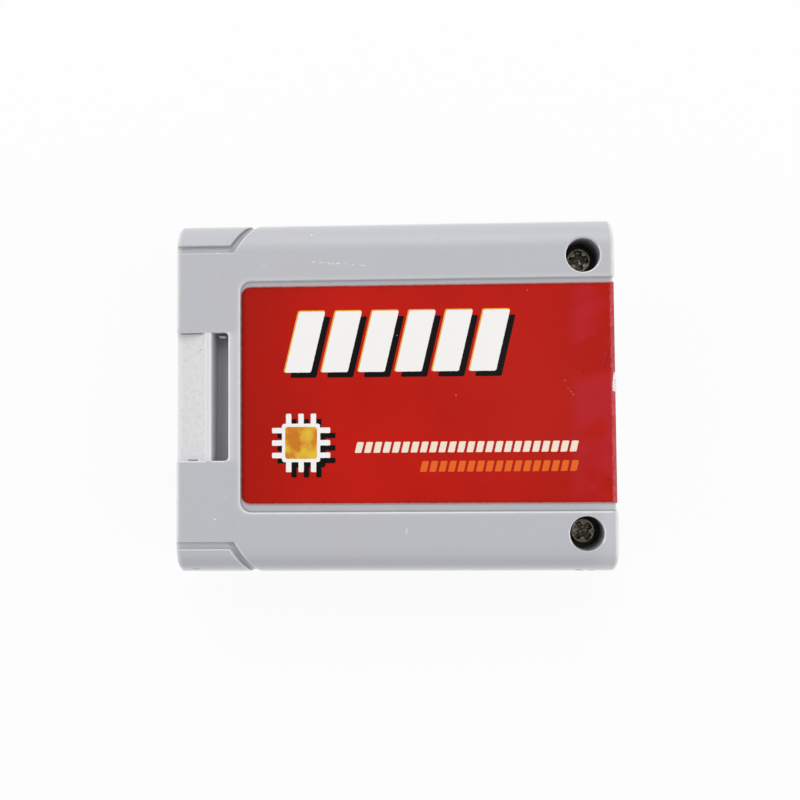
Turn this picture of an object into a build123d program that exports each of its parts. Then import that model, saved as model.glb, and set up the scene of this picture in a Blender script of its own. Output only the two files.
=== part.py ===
import os
from math import cos, radians, sin

from build123d import *

os.makedirs("parts", exist_ok=True)

# Closed card: X runs from the connector mouth to the screw end, Z from the rear face to the front face
card_length = 61.8
card_width = 50.0
card_height = 16.0
seam_height = 8.0
wall = 1.8
front_edge_radius = 4.35
rear_edge_radius = 2.6
mouth_edge_radius = 0.45
tail_edge_radius = 0.65
seam_bevel = 0.15
rim_round = 0.25

# Lap joint between the shells
lip_thickness = 0.8
lip_height = 1.2
lip_gap = 0.1

# Connector well, open at the mouth and closed by a bulkhead that the board passes through
well_depth = 9.0
well_side_wall = 3.5
well_corner_radius = 0.8
mouth_chamfer = 0.4
bulkhead_thickness = 1.4

# Latch: a ramp for the catch to slide up, a bar, and the pocket that the catch drops into
latch_width = 18.1
ramp_length = 4.1
ramp_depth = 0.95
ramp_step = 0.3
ramp_sagitta = 0.2
bar_width = 0.85
pocket_length = 2.45
pocket_depth = 2.6
pocket_lean = 0.45
pocket_corner_radius = 0.6
pocket_wall = 1.0

# Grooves that set off the two corners beside the mouth
groove_width = 1.03
groove_inset = 3.58
groove_depth = 0.55
groove_side_depth = 0.2
groove_rim_round = 0.12
groove_foot = 0.8
groove_run = 7.95
groove_turn = 61.0
groove_bend_radius = 22.0
groove_bend_sweep = 18.0

# Screws and their bosses
screw_inset_x = 4.4
screw_inset_y = 5.62
screw_hole_diameter = 4.75
screw_head_depth = 4.05
screw_head_diameter = 3.8
screw_head_height = 1.5
screw_head_round = 0.35
screw_shank_diameter = 2.6
screw_tip_length = 1.2
screw_tip_diameter = 1.0
screw_tip_gap = 0.3
shank_gap = 0.15
boss_wall = 1.6
pilot_floor = 0.4
cross_edge = 0.15
cross_width = 1.05
cross_corner_radius = 0.3
cross_rim = 0.08
cross_depth = 0.9
cross_taper = 8.0
upper_cross_turn = 4.0
lower_cross_turn = 41.0

# Label and the recess that it lies in; both fold over the screw end
recess_setback = 9.1
recess_hole_gap = 0.7
recess_depth = 0.45
recess_tail_depth = 0.28
recess_foot = 0.8
recess_corner_radius = 1.5
label_thickness = 0.15
label_left_gap = 0.1
label_upper_gap = 0.72
label_lower_gap = 1.1
label_foot_gap = 0.4
label_corner_radius = 1.4

# Circuit board, clamped between pegs of the rear shell and posts of the front shell
board_thickness = 1.2
board_tip_setback = 1.6
board_side_gap = 0.7
board_end_gap = 0.4
board_corner_radius = 1.0
tongue_side_gap = 0.7
tongue_bevel = 0.3
tongue_corner = 1.0
slot_gap = 0.2
peg_diameter = 3.0
peg_gap = 0.15
peg_reach = 1.6
peg_end_gap = 0.4
peg_inset_x = 4.0
peg_inset_y = 3.0
post_diameter = 5.4

# Plated contacts on both sides of the tongue
contact_pitch = 2.5
contact_width = 1.6
contact_length = 6.4
contact_setback = 0.6
contact_edge_margin = 1.0
contact_thickness = 0.06

# Moulded chips with bent leads
memory_size_x = 8.4
memory_size_y = 18.1
memory_height = 2.3
memory_span = 11.8
memory_pin_count = 14
memory_pitch = 1.27
memory_offset_x = 7.0
memory_offset_y = 10.0
supervisor_size_x = 3.9
supervisor_size_y = 4.9
supervisor_height = 1.5
supervisor_span = 6.0
supervisor_pin_count = 4
supervisor_pitch = 1.27
supervisor_offset_x = 5.0
supervisor_offset_y = -8.5
diode_size_x = 1.3
diode_size_y = 2.9
diode_height = 1.0
diode_span = 2.5
diode_pitch = 1.9
diode_right_count = 2
diode_left_count = 1
diode_offset_y = -16.0
chip_standoff = 0.12
chip_edge = 0.2
pin_mark_diameter = 0.9
pin_mark_depth = 0.1
pin_mark_inset = 1.1
lead_width = 0.42
lead_thickness = 0.18
lead_shoulder = 0.35

# Coin cell with its welded tabs
cell_diameter = 20.0
cell_height = 3.2
cell_cap_diameter = 17.6
cell_cap_height = 0.35
cell_edge_radius = 0.4
cell_end_offset = 13.0
cell_offset_y = -10.0
tab_width = 4.0
tab_thickness = 0.2
tab_grip = 3.0
tab_standoff = 1.0
tab_foot = 2.8
solder_diameter = 2.0
solder_top_diameter = 0.9
solder_height = 0.5

# Small chip components beside the memory
component_length = 2.0
component_width = 1.25
component_height = 0.6
terminal_length = 0.4
terminal_step = 0.03
component_offset_x = 16.5
component_first_y = 3.5
component_spacing = 3.0
resistor_count = 3
capacitor_count = 2

# Cutting bodies run past the faces that they open
overrun = 1.0

# Places worked out from the sizes above
half_width = card_width / 2
mouth_x = -card_length / 2
tail_x = card_length / 2
inner_half_width = half_width - wall
inner_tail_x = tail_x - wall
inner_top = card_height - wall
well_half_width = half_width - well_side_wall
well_back_x = mouth_x + well_depth
bulkhead_back_x = well_back_x + bulkhead_thickness
ramp_end_x = mouth_x + ramp_length
pocket_x = ramp_end_x + bar_width
pocket_end_x = pocket_x + pocket_length
groove_foot_z = seam_height + groove_foot
screw_x = tail_x - screw_inset_x
screw_y = half_width - screw_inset_y
screw_seat = card_height - screw_head_depth - screw_head_height
boss_radius = screw_hole_diameter / 2 + boss_wall
pilot_bottom = wall + pilot_floor
screw_tip = pilot_bottom + screw_tip_gap
cross_length = screw_head_diameter - 2 * (screw_head_round + cross_edge)
recess_half_width = screw_y - screw_hole_diameter / 2 - recess_hole_gap
recess_x = mouth_x + recess_setback
recess_foot_z = seam_height + recess_foot
board_top = seam_height
board_bottom = board_top - board_thickness
board_tip_x = mouth_x + board_tip_setback
board_main_x = bulkhead_back_x + board_end_gap
board_back_x = screw_x - boss_radius - board_end_gap
board_half_width = inner_half_width - board_side_gap
tongue_half_width = well_half_width - tongue_side_gap
peg_x = board_back_x - peg_inset_x
peg_y = board_half_width - peg_inset_y
cell_x = board_back_x - cell_end_offset
cell_y = cell_offset_y
cell_bottom = board_top + tab_thickness
cell_top = cell_bottom + cell_height

screw_places = [(screw_x, screw_y), (screw_x, -screw_y)]
cross_turns = [upper_cross_turn, lower_cross_turn]
peg_places = [(peg_x, peg_y), (peg_x, -peg_y)]
upright = (Align.CENTER, Align.CENTER, Align.MIN)


def rounded_bar(start_x, end_x, bar_half_width, low, high, radius, rounded_end):
    # A bar along X whose two long edges are rounded, at its top (-1) or at its bottom (0)
    with BuildPart() as bar:
        with BuildSketch(Plane.YZ.offset(start_x)) as section:
            with Locations((0, (low + high) / 2)):
                Rectangle(2 * bar_half_width, high - low)
            fillet(section.vertices().group_by(Axis.Y)[rounded_end], radius)
        extrude(amount=end_x - start_x)
    return bar.part


def tail_wrap(outer, inner, left, foot, low_y, high_y, corner_radius):
    # A bent strip over the front face and the screw end; outer and inner each hold how far
    # that side of the strip lies below the case's front face and below its screw end
    with BuildPart() as strip:
        with BuildSketch(Plane.XZ.offset(-high_y)) as section:
            for (front_inset, tail_inset), mode in ((outer, Mode.ADD), (inner, Mode.SUBTRACT)):
                with BuildSketch(mode=Mode.PRIVATE) as layer:
                    with Locations((left, foot)):
                        Rectangle(
                            tail_x - tail_inset - left,
                            card_height - front_inset - foot,
                            align=(Align.MIN, Align.MIN),
                        )
                    bend = layer.vertices().group_by(Axis.X)[-1].sort_by(Axis.Y)[-1]
                    fillet(bend, tail_edge_radius - front_inset)
                add(layer.sketch, mode=mode)
        extrude(amount=high_y - low_y)
        with BuildSketch(Plane.XY) as plan:
            with Locations((left, (low_y + high_y) / 2)):
                Rectangle(card_length, high_y - low_y, align=(Align.MIN, Align.CENTER))
            fillet(plan.vertices().group_by(Axis.X)[0], corner_radius)
        extrude(amount=card_height + overrun, mode=Mode.INTERSECT)
        with BuildSketch(Plane.YZ.offset(left)) as end_view:
            with Locations(((low_y + high_y) / 2, foot)):
                Rectangle(high_y - low_y, card_height, align=(Align.CENTER, Align.MIN))
            fillet(end_view.vertices().group_by(Axis.Y)[0], corner_radius)
        extrude(amount=card_length, mode=Mode.INTERSECT)
    return strip.part


def case_core(low, high, radius, rounded_end, post_top):
    # The space inside one shell, less the screw bosses, the case's corners beside them and the board's posts
    with BuildPart() as core:
        add(rounded_bar(bulkhead_back_x, inner_tail_x, inner_half_width, low, high, radius, rounded_end))
        with Locations(*screw_places):
            Cylinder(boss_radius, card_height, align=upright, mode=Mode.SUBTRACT)
        with Locations(*peg_places):
            Cylinder(post_diameter / 2, post_top, align=upright, mode=Mode.SUBTRACT)
        with Locations((tail_x, half_width), (tail_x, -half_width)):
            Box(2 * screw_inset_x, 2 * screw_inset_y, 2 * card_height, mode=Mode.SUBTRACT)
    return core.part


def lip_band(gap):
    # Plan of the lap joint: a band inside three walls, open towards the bulkhead
    with BuildSketch() as band:
        for grow, mode in ((lip_thickness + gap, Mode.ADD), (-gap, Mode.SUBTRACT)):
            with Locations((bulkhead_back_x - gap, 0)):
                Rectangle(
                    inner_tail_x + grow - bulkhead_back_x + gap,
                    2 * (inner_half_width + grow),
                    align=(Align.MIN, Align.CENTER),
                    mode=mode,
                )
    return band.sketch


def step_points(start, bend, end, high, low, thickness):
    # Section of a strip that runs level at high, drops at bend and ends in a foot at low
    return [
        (start, high),
        (start, high + thickness),
        (bend, high + thickness),
        (bend, low + thickness),
        (end, low + thickness),
        (end, low),
        (bend - thickness, low),
        (bend - thickness, high),
    ]


def cut_rims(shell, low_z):
    # Edges that the last cut left in the skin above low_z, apart from those in the mouth's end face
    skin_edges = shell.edges(Select.NEW).filter_by_position(Axis.X, mouth_x + rim_round, tail_x + rim_round)
    return skin_edges.filter_by_position(Axis.Z, low_z, card_height + rim_round)


def mouth_rim(shell, low, high):
    # Edges of the connector well in the mouth's end face
    end_edges = shell.faces().sort_by(Axis.X)[0].edges()
    reach = well_half_width + rim_round
    inner_edges = end_edges.filter_by_position(Axis.Y, -reach, reach)
    return inner_edges.filter_by_position(Axis.Z, low - rim_round, high + rim_round)


def pin_rows(count, pitch):
    # Places along Y of a row of pins, centred on the chip
    return [(index - (count - 1) / 2) * pitch for index in range(count)]


def chip_body(center_x, center_y, size_x, size_y, height):
    # A moulded chip that stands clear of the board, with its top edges bevelled
    with BuildPart() as body:
        with Locations((center_x, center_y, board_top + chip_standoff)):
            Box(size_x, size_y, height, align=upright)
        chamfer(body.faces().sort_by(Axis.Z)[-1].edges(), chip_edge)
    return body.part


def chip_leads(center_x, center_y, size_x, span, height, right_row, left_row):
    # Bent leads: each leaves the chip at half its height and stands on the board
    exit_height = board_top + chip_standoff + (height - lead_thickness) / 2
    bend = size_x / 2 + lead_shoulder
    with BuildPart() as lead:
        with BuildSketch(Plane.XZ):
            with BuildLine():
                Polyline(
                    *step_points(size_x / 2, bend, span / 2, exit_height, board_top, lead_thickness),
                    close=True,
                )
            make_face()
        extrude(amount=lead_width / 2, both=True)
    with BuildPart() as leads:
        for row, turn in ((right_row, 0), (left_row, 180)):
            with Locations(*[Location((center_x, center_y + y, 0), (0, 0, turn)) for y in row]):
                add(lead.part)
    return leads.part


# Bodies that cut the front shell: the connector well, the latch and the corner grooves
with BuildPart() as front_well:
    add(
        rounded_bar(
            mouth_x - overrun,
            well_back_x,
            well_half_width,
            seam_height - overrun,
            inner_top,
            well_corner_radius,
            -1,
        )
    )
    with Locations(((pocket_x + pocket_end_x) / 2, 0, card_height - pocket_depth - pocket_wall)):
        Box(
            pocket_length + 2 * pocket_wall,
            latch_width + 2 * pocket_wall,
            card_height,
            align=upright,
            mode=Mode.SUBTRACT,
        )

with BuildPart() as latch_cutter:
    with BuildSketch(Plane.XZ):
        with BuildLine():
            rise = SagittaArc(
                (mouth_x, card_height - ramp_depth),
                (ramp_end_x, card_height - ramp_step),
                -ramp_sagitta,
            )
            Polyline(
                rise @ 1,
                (ramp_end_x, card_height + overrun),
                (mouth_x - overrun, card_height + overrun),
                (mouth_x - overrun, card_height - ramp_depth),
                rise @ 0,
            )
        make_face()
    extrude(amount=latch_width / 2, both=True)
    with BuildSketch(Plane.XZ):
        with BuildLine():
            Polyline(
                (pocket_x, card_height + overrun),
                (pocket_x, card_height),
                (pocket_x + pocket_lean, card_height - pocket_depth),
                (pocket_end_x, card_height - pocket_depth),
                (pocket_end_x, card_height + overrun),
                close=True,
            )
        make_face()
    extrude(amount=latch_width / 2, both=True)
    fillet(latch_cutter.edges().filter_by(Axis.Z).group_by(Axis.X)[-1], pocket_corner_radius)

with BuildPart() as groove_cutter:
    with BuildSketch(Plane.XY.offset(groove_foot_z)) as groove_plan:
        bend_point = (mouth_x + groove_run, half_width - groove_inset - groove_width / 2)
        heading = (cos(radians(groove_turn)), sin(radians(groove_turn)))
        with BuildLine():
            Line((mouth_x - overrun, bend_point[1]), bend_point)
            JernArc(bend_point, heading, groove_bend_radius, -groove_bend_sweep)
        trace(line_width=groove_width)
        with Locations(bend_point):
            Circle(groove_width / 2)
        mirror(about=Plane.XZ)
    extrude(amount=card_height - groove_foot_z + overrun)
    add(
        rounded_bar(
            mouth_x - 2 * overrun,
            tail_x,
            half_width - groove_side_depth,
            seam_height - overrun,
            card_height - groove_depth,
            front_edge_radius,
            -1,
        ),
        mode=Mode.SUBTRACT,
    )

# The two halves of the case
with BuildPart() as front_shell:
    add(rounded_bar(mouth_x, tail_x, half_width, seam_height, card_height, front_edge_radius, -1))
    fillet(front_shell.faces().sort_by(Axis.X)[0].edges().sort_by(Axis.Z)[1:], mouth_edge_radius)
    fillet(front_shell.faces().sort_by(Axis.X)[-1].edges().sort_by(Axis.Z)[1:], tail_edge_radius)
    chamfer(front_shell.faces().sort_by(Axis.Z)[0].edges(), seam_bevel)
    add(groove_cutter.part, mode=Mode.SUBTRACT)
    fillet(cut_rims(front_shell, groove_foot_z + rim_round), groove_rim_round)
    front_inner_radius = front_edge_radius - wall
    front_core = case_core(seam_height - overrun, inner_top, front_inner_radius, -1, card_height)
    add(front_core, mode=Mode.SUBTRACT)
    add(front_well.part, mode=Mode.SUBTRACT)
    chamfer(mouth_rim(front_shell, seam_height, inner_top), mouth_chamfer)
    with BuildSketch(Plane.XY.offset(seam_height)):
        add(lip_band(0))
    extrude(amount=-lip_height)
    with Locations(*[(x, y, seam_height) for x, y in peg_places]):
        Cylinder(
            peg_diameter / 2 + peg_gap,
            peg_reach + peg_end_gap,
            align=upright,
            mode=Mode.SUBTRACT,
        )
    with Locations(*[(x, y, card_height) for x, y in screw_places]):
        CounterBoreHole(
            radius=screw_shank_diameter / 2 + shank_gap,
            counter_bore_radius=screw_hole_diameter / 2,
            counter_bore_depth=card_height - screw_seat,
            depth=card_height - seam_height + overrun,
        )
    fillet(cut_rims(front_shell, screw_seat), rim_round)
    add(
        tail_wrap(
            (-overrun, -overrun),
            (recess_depth, recess_tail_depth),
            recess_x,
            recess_foot_z,
            -recess_half_width,
            recess_half_width,
            recess_corner_radius,
        ),
        mode=Mode.SUBTRACT,
    )
    fillet(cut_rims(front_shell, seam_height), rim_round)
    add(latch_cutter.part, mode=Mode.SUBTRACT)
    fillet(cut_rims(front_shell, inner_top), rim_round)
front_shell.part.label = "front_shell"
export_step(front_shell.part, "parts/front_shell.step")

with BuildPart() as rear_shell:
    add(rounded_bar(mouth_x, tail_x, half_width, 0, seam_height, rear_edge_radius, 0))
    fillet(rear_shell.faces().sort_by(Axis.X)[0].edges().sort_by(Axis.Z)[:-1], mouth_edge_radius)
    fillet(rear_shell.faces().sort_by(Axis.X)[-1].edges().sort_by(Axis.Z)[:-1], tail_edge_radius)
    chamfer(rear_shell.faces().sort_by(Axis.Z)[-1].edges(), seam_bevel)
    rear_core = case_core(wall, seam_height + overrun, rear_edge_radius - wall, 0, board_bottom)
    add(rear_core, mode=Mode.SUBTRACT)
    add(
        rounded_bar(
            mouth_x - overrun,
            well_back_x,
            well_half_width,
            wall,
            seam_height + overrun,
            well_corner_radius,
            0,
        ),
        mode=Mode.SUBTRACT,
    )
    chamfer(mouth_rim(rear_shell, wall, seam_height), mouth_chamfer)
    with BuildSketch(Plane.XY.offset(board_bottom)):
        with Locations((well_back_x, 0)):
            Rectangle(
                bulkhead_thickness,
                2 * (tongue_half_width + slot_gap),
                align=(Align.MIN, Align.CENTER),
            )
    extrude(amount=board_thickness, mode=Mode.SUBTRACT)
    with BuildSketch(Plane.XY.offset(seam_height)):
        add(lip_band(lip_gap))
    extrude(amount=-lip_height - lip_gap, mode=Mode.SUBTRACT)
    with Locations(*[(x, y, pilot_bottom) for x, y in screw_places]):
        Cylinder(screw_shank_diameter / 2, card_height, align=upright, mode=Mode.SUBTRACT)
    with Locations(*[(x, y, wall) for x, y in peg_places]):
        Cylinder(peg_diameter / 2, board_top + peg_reach - wall, align=upright)
rear_shell.part.label = "rear_shell"
export_step(rear_shell.part, "parts/rear_shell.step")

# What shows outside besides the case
with BuildPart() as front_label:
    add(
        tail_wrap(
            (recess_depth - label_thickness, recess_tail_depth - label_thickness),
            (recess_depth, recess_tail_depth),
            recess_x + label_left_gap,
            recess_foot_z + label_foot_gap,
            label_lower_gap - recess_half_width,
            recess_half_width - label_upper_gap,
            label_corner_radius,
        )
    )
front_label.part.label = "front_label"
export_step(front_label.part, "parts/front_label.step")

with BuildPart() as case_screws:
    with Locations(*[(x, y, screw_seat) for x, y in screw_places]):
        Cylinder(screw_head_diameter / 2, screw_head_height, align=upright)
    fillet(case_screws.edges().group_by(Axis.Z)[-1], screw_head_round)
    shank_end = screw_tip + screw_tip_length
    with Locations(*[(x, y, shank_end) for x, y in screw_places]):
        Cylinder(screw_shank_diameter / 2, screw_seat - shank_end, align=upright)
    with Locations(*[(x, y, screw_tip) for x, y in screw_places]):
        Cone(screw_tip_diameter / 2, screw_shank_diameter / 2, screw_tip_length, align=upright)
    with BuildSketch(Plane.XY.offset(screw_seat + screw_head_height)) as cross_plan:
        with Locations(*[Location((x, y, 0), (0, 0, turn)) for (x, y), turn in zip(screw_places, cross_turns)]):
            Rectangle(cross_length, cross_width)
            Rectangle(cross_width, cross_length)
        fillet(cross_plan.vertices(), cross_corner_radius)
    extrude(amount=-cross_depth, taper=cross_taper, mode=Mode.SUBTRACT)
    head_faces = case_screws.faces().filter_by(GeomType.PLANE).group_by(Axis.Z)[-1]
    cross_rims = [edge for face in head_faces for wire in face.inner_wires() for edge in wire.edges()]
    chamfer(cross_rims, cross_rim)
case_screws.part.label = "case_screws"
export_step(case_screws.part, "parts/case_screws.step")

# The board and its contacts
with BuildPart() as circuit_board:
    with BuildSketch(Plane.XY.offset(board_bottom)) as board_plan:
        with Locations((board_main_x, 0)):
            Rectangle(
                board_back_x - board_main_x,
                2 * board_half_width,
                align=(Align.MIN, Align.CENTER),
            )
        fillet(board_plan.vertices(), board_corner_radius)
        with BuildSketch(mode=Mode.PRIVATE) as tongue:
            with Locations((board_tip_x, 0)):
                Rectangle(
                    board_main_x - board_tip_x,
                    2 * tongue_half_width,
                    align=(Align.MIN, Align.CENTER),
                )
            chamfer(tongue.vertices().group_by(Axis.X)[0], tongue_corner)
        add(tongue.sketch)
        with Locations(*peg_places):
            Circle(peg_diameter / 2 + peg_gap, mode=Mode.SUBTRACT)
    extrude(amount=board_thickness)
    tip_edges = circuit_board.faces().sort_by(Axis.X)[0].edges().filter_by(Axis.Y)
    chamfer(tip_edges, tongue_bevel)
circuit_board.part.label = "circuit_board"
export_step(circuit_board.part, "parts/circuit_board.step")

contact_room = 2 * (tongue_half_width - contact_edge_margin) - contact_width
contact_count = int(contact_room // contact_pitch) + 1
contact_x = board_tip_x + contact_setback + contact_length / 2
with BuildSketch() as contact_plan:
    with Locations((contact_x, 0)):
        with GridLocations(contact_length, contact_pitch, 1, contact_count):
            Rectangle(contact_length, contact_width)

with BuildPart() as front_contacts:
    with BuildSketch(Plane.XY.offset(board_top)):
        add(contact_plan.sketch)
    extrude(amount=contact_thickness)
front_contacts.part.label = "front_contacts"
export_step(front_contacts.part, "parts/front_contacts.step")

with BuildPart() as rear_contacts:
    with BuildSketch(Plane.XY.offset(board_bottom)):
        add(contact_plan.sketch)
    extrude(amount=-contact_thickness)
rear_contacts.part.label = "rear_contacts"
export_step(rear_contacts.part, "parts/rear_contacts.step")

# Chips on the board
memory_x = board_main_x + memory_offset_x
memory_row = pin_rows(memory_pin_count, memory_pitch)
with BuildPart() as memory_chip:
    add(chip_body(memory_x, memory_offset_y, memory_size_x, memory_size_y, memory_height))
    mark_x = memory_x - memory_size_x / 2 + pin_mark_inset
    mark_y = memory_offset_y + memory_size_y / 2 - pin_mark_inset
    with Locations((mark_x, mark_y, board_top + chip_standoff + memory_height - pin_mark_depth)):
        Cylinder(pin_mark_diameter / 2, overrun, align=upright, mode=Mode.SUBTRACT)
memory_chip.part.label = "memory_chip"
export_step(memory_chip.part, "parts/memory_chip.step")

with BuildPart() as memory_chip_leads:
    add(
        chip_leads(
            memory_x,
            memory_offset_y,
            memory_size_x,
            memory_span,
            memory_height,
            memory_row,
            memory_row,
        )
    )
memory_chip_leads.part.label = "memory_chip_leads"
export_step(memory_chip_leads.part, "parts/memory_chip_leads.step")

supervisor_x = board_main_x + supervisor_offset_x
supervisor_row = pin_rows(supervisor_pin_count, supervisor_pitch)
with BuildPart() as supervisor_chip:
    add(
        chip_body(
            supervisor_x,
            supervisor_offset_y,
            supervisor_size_x,
            supervisor_size_y,
            supervisor_height,
        )
    )
supervisor_chip.part.label = "supervisor_chip"
export_step(supervisor_chip.part, "parts/supervisor_chip.step")

with BuildPart() as supervisor_chip_leads:
    add(
        chip_leads(
            supervisor_x,
            supervisor_offset_y,
            supervisor_size_x,
            supervisor_span,
            supervisor_height,
            supervisor_row,
            supervisor_row,
        )
    )
supervisor_chip_leads.part.label = "supervisor_chip_leads"
export_step(supervisor_chip_leads.part, "parts/supervisor_chip_leads.step")

with BuildPart() as isolation_diode:
    add(chip_body(supervisor_x, diode_offset_y, diode_size_x, diode_size_y, diode_height))
isolation_diode.part.label = "isolation_diode"
export_step(isolation_diode.part, "parts/isolation_diode.step")

with BuildPart() as isolation_diode_leads:
    add(
        chip_leads(
            supervisor_x,
            diode_offset_y,
            diode_size_x,
            diode_span,
            diode_height,
            pin_rows(diode_right_count, diode_pitch),
            pin_rows(diode_left_count, diode_pitch),
        )
    )
isolation_diode_leads.part.label = "isolation_diode_leads"
export_step(isolation_diode_leads.part, "parts/isolation_diode_leads.step")

# The cell, its tabs and their solder
with BuildPart() as coin_cell:
    with Locations((cell_x, cell_y, cell_bottom + cell_cap_height)):
        Cylinder(cell_diameter / 2, cell_height - cell_cap_height, align=upright)
    fillet(coin_cell.edges().filter_by(GeomType.CIRCLE), cell_edge_radius)
    with Locations((cell_x, cell_y, cell_bottom)):
        Cylinder(cell_cap_diameter / 2, cell_height - cell_edge_radius, align=upright)
coin_cell.part.label = "coin_cell"
export_step(coin_cell.part, "parts/coin_cell.step")

tab_bend = cell_y + cell_diameter / 2 + tab_standoff
with BuildPart() as cell_positive_tab:
    with BuildSketch(Plane.YZ.offset(cell_x)):
        with BuildLine():
            Polyline(
                *step_points(
                    cell_y - tab_grip,
                    tab_bend,
                    tab_bend + tab_foot,
                    cell_top,
                    board_top,
                    tab_thickness,
                ),
                close=True,
            )
        make_face()
    extrude(amount=tab_width / 2, both=True)
cell_positive_tab.part.label = "cell_positive_tab"
export_step(cell_positive_tab.part, "parts/cell_positive_tab.step")

tab_reach = cell_diameter / 2 + tab_standoff + tab_foot
with BuildPart() as cell_negative_tab:
    with Locations((cell_x - tab_reach, cell_y, board_top)):
        Box(
            tab_reach + tab_grip,
            tab_width,
            tab_thickness,
            align=(Align.MIN, Align.CENTER, Align.MIN),
        )
cell_negative_tab.part.label = "cell_negative_tab"
export_step(cell_negative_tab.part, "parts/cell_negative_tab.step")

with BuildPart() as tab_solder_joints:
    with Locations(
        (cell_x, tab_bend + tab_foot / 2, cell_bottom),
        (cell_x - tab_reach + tab_foot / 2, cell_y, cell_bottom),
    ):
        Cone(solder_diameter / 2, solder_top_diameter / 2, solder_height, align=upright)
    fillet(tab_solder_joints.edges().group_by(Axis.Z)[-1], solder_height / 2)
tab_solder_joints.part.label = "tab_solder_joints"
export_step(tab_solder_joints.part, "parts/tab_solder_joints.step")

# Resistors and capacitors
component_x = board_main_x + component_offset_x
component_count = resistor_count + capacitor_count
component_places = [
    (component_x, component_first_y + index * component_spacing, board_top)
    for index in range(component_count)
]
body_length = component_length - 2 * terminal_length
body_width = component_width - 2 * terminal_step
body_height = component_height - terminal_step

with BuildPart() as chip_resistors:
    with Locations(*component_places[:resistor_count]):
        Box(body_length, body_width, body_height, align=upright)
chip_resistors.part.label = "chip_resistors"
export_step(chip_resistors.part, "parts/chip_resistors.step")

with BuildPart() as chip_capacitors:
    with Locations(*component_places[resistor_count:]):
        Box(body_length, body_width, body_height, align=upright)
chip_capacitors.part.label = "chip_capacitors"
export_step(chip_capacitors.part, "parts/chip_capacitors.step")

with BuildPart() as chip_terminals:
    terminal_offset = (component_length - terminal_length) / 2
    with Locations(*[(x + s * terminal_offset, y, z) for x, y, z in component_places for s in (-1, 1)]):
        Box(terminal_length, component_width, component_height, align=upright)
chip_terminals.part.label = "chip_terminals"
export_step(chip_terminals.part, "parts/chip_terminals.step")
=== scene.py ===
import math

import bpy
from mathutils import Euler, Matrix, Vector


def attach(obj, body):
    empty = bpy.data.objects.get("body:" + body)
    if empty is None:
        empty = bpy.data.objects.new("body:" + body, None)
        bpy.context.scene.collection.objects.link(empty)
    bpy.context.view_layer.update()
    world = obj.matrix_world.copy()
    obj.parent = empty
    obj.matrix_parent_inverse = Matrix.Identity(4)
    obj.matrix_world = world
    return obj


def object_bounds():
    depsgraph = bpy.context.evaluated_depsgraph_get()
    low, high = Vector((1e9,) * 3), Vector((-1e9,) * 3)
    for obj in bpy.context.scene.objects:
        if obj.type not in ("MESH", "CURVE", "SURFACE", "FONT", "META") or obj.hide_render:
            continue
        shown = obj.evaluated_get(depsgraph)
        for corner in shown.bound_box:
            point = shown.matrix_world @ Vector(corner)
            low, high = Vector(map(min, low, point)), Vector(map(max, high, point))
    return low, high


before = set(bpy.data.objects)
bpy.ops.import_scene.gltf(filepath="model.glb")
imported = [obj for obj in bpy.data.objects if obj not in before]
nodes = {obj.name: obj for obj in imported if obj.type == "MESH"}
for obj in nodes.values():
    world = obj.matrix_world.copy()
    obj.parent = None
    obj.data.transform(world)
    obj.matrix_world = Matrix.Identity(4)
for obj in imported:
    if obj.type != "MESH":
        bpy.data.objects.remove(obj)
cadLow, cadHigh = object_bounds()
millimetre = 0.001  # scene units are metres, the card's settings are in millimetres
farAway = 99.0  # beyond any place on the card
print("frame loaded,", len(nodes), "pieces from the packed model")


# short ways to build node trees

def feed(tree, socket, value):  # a socket is wired up, anything else is typed in
    if isinstance(value, bpy.types.NodeSocket):
        tree.links.new(value, socket)
    else:
        socket.default_value = value


def addNode(tree, kind, inputs=None, **options):
    node = tree.nodes.new("ShaderNode" + kind)
    for option, value in options.items():
        setattr(node, option, value)
    for name, value in (inputs or {}).items():
        feed(tree, node.inputs[name], value)
    return node


def calc(tree, operation, *values):
    return addNode(tree, "Math", dict(enumerate(values)), operation=operation).outputs[0]


def vectorCalc(tree, operation, *values):
    node = addNode(tree, "VectorMath", dict(enumerate(values)), operation=operation)
    return node.outputs["Value" if operation in ("LENGTH", "DOT_PRODUCT") else "Vector"]


def product(tree, first, *others):
    for other in others:
        first = calc(tree, "MULTIPLY", first, other)
    return first


def highest(tree, first, *others):
    for other in others:
        first = calc(tree, "MAXIMUM", first, other)
    return first


def apart(tree, first, second):
    return calc(tree, "ABSOLUTE", calc(tree, "SUBTRACT", first, second))


def scaled(tree, vector, factor):
    return addNode(tree, "VectorMath", {0: vector, "Scale": factor}, operation="SCALE").outputs[0]


def axes(tree, vector):
    parts = addNode(tree, "SeparateXYZ", {0: vector}).outputs
    return parts["X"], parts["Y"], parts["Z"]


def facing(tree):  # which way the surface faces, axis by axis
    return axes(tree, addNode(tree, "NewGeometry").outputs["Normal"])


def joined(tree, x, y, z=0.0):
    return addNode(tree, "CombineXYZ", {0: x, 1: y, 2: z}).outputs[0]


def rise(tree, value, low, high, first=0.0, last=1.0):  # eased step from first to last
    inputs = {0: value, 1: low, 2: high, 3: first, 4: last}
    return addNode(tree, "MapRange", inputs, interpolation_type="SMOOTHSTEP").outputs[0]


def stepper(tree, look):  # eased steps whose numbers stand in the settings
    return lambda value, name: rise(tree, value, *look[name])


def blendColour(tree, factor, under, over):
    return addNode(tree, "Mix", {0: factor, 6: under, 7: over}, data_type="RGBA").outputs[2]


def noiseAt(tree, place, perMillimetre, detail=2.0, roughness=0.5):
    inputs = {"Vector": place, "Scale": perMillimetre, "Detail": detail, "Roughness": roughness}
    return addNode(tree, "TexNoise", inputs).outputs[0]


def patches(tree, place, settings):  # eased noise, by the numbers of the noise and of the step
    noise, steps = settings
    return rise(tree, noiseAt(tree, place, *noise), *steps)


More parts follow.
